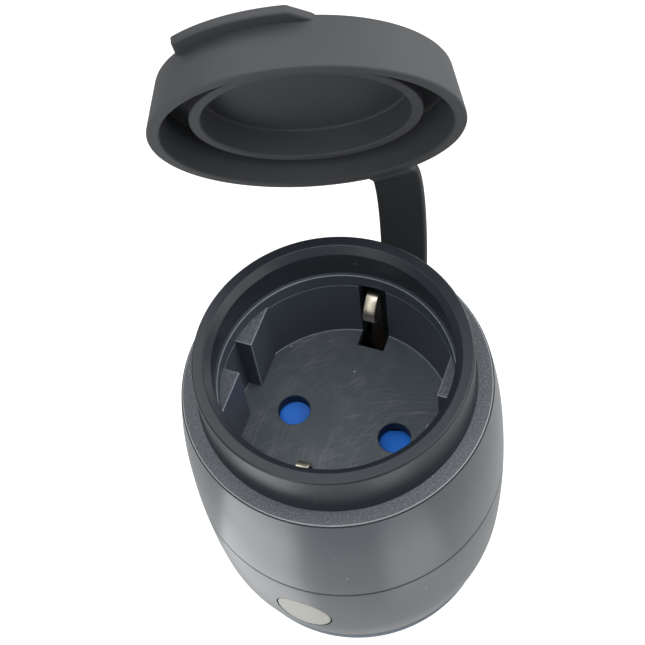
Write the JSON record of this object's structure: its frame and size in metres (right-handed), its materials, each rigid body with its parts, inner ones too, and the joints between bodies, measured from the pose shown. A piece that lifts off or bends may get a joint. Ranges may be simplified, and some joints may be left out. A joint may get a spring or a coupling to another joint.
{
  "type": "remote control socket",
  "caption": "Barrel-shaped plug-in outdoor socket switched by radio, with an earthed plug below, a recessed earthed socket above, a strapped rubber cap and a push button.",
  "frame": {"origin": "centre of the plug's face, the plane that its pins stand out of", "axes": "+Z along the axis to the socket, +X along the line of the pins, and the button faces -Y"},
  "size_m": [0.0657, 0.074, 0.1514],
  "materials": {
    "shell": "satin",
    "black_rubber": "satin",
    "grey_rubber": "matte",
    "cap_rubber": "matte",
    "insert_plastic": "satin",
    "blue_plastic": "satin",
    "black_plastic": "satin",
    "brown_plastic": "gloss",
    "yellow_plastic": "satin",
    "button_plastic": "satin",
    "board_laminate": "gloss",
    "nickel": "satin",
    "steel": "satin",
    "brass": "satin",
    "aluminium": "satin"
  },
  "bodies": {
    "housing": {"upper_housing": "shell", "lower_housing": "shell", "seam_gasket": "black_rubber", "collar_ring": "black_rubber", "socket_insert": "insert_plastic", "shutter_spring": "steel", "contact_carrier": "insert_plastic", "live_contact": "brass", "neutral_contact": "brass", "circuit_board": "board_laminate", "relay": "black_plastic", "film_capacitor": "yellow_plastic", "storage_capacitor": "aluminium", "fuse": "brown_plastic", "varistor": "blue_plastic", "radio_module": "board_laminate", "aerial": "brass", "button_seal": "black_rubber", "tact_switch": "black_plastic", "plug_base": "black_plastic", "live_pin": "nickel", "neutral_pin": "nickel", "earth_pin_sleeve": "brass", "plug_earth_strip": "nickel", "earth_link": "brass", "earth_clips": "nickel", "plug_seal": "grey_rubber", "housing_screws": "steel", "insert_screws": "steel", "board_screws": "steel", "strap_foot": "cap_rubber"},
    "strap": {"cap_strap": "cap_rubber"},
    "cap": {"flip_cap": "cap_rubber"},
    "button": {"learn_button": "button_plastic"},
    "plunger": {"switch_plunger": "button_plastic"},
    "shutter": {"shutter": "blue_plastic"}
  },
  "joints": [
    {"name": "cap_press", "type": "slide", "parent": "housing", "child": "strap", "axis": [0, 0, 1], "range_m": [-0.0085, 0], "deforming": ["cap_strap"]},
    {"name": "cap_swing", "type": "hinge", "parent": "strap", "child": "cap", "pos_m": [-0.01077, 0.02572, 0.07407], "axis": [0.922, 0.386, 0.029], "range_deg": [-15, 73.17], "deforming": ["cap_strap"]},
    {"name": "button_press", "type": "slide", "parent": "housing", "child": "button", "axis": [0, 1, 0], "range_m": [0, 0.0008], "stiffness_N_per_m": 1500, "springref_m": -0.0006},
    {"name": "plunger_travel", "type": "slide", "parent": "housing", "child": "plunger", "axis": [0, 1, 0], "range_m": [0, 0.0008]},
    {"name": "shutter_turn", "type": "hinge", "parent": "housing", "child": "shutter", "pos_m": [0, 0, 0.0534], "axis": [0, 0, -1], "range_deg": [0, 40], "stiffness_Nm_per_rad": 0.001, "springref_deg": -17.19}
  ],
  "couplings": [
    {"joint": "plunger_travel", "follows": "button_press", "ratio": 1}
  ]
}
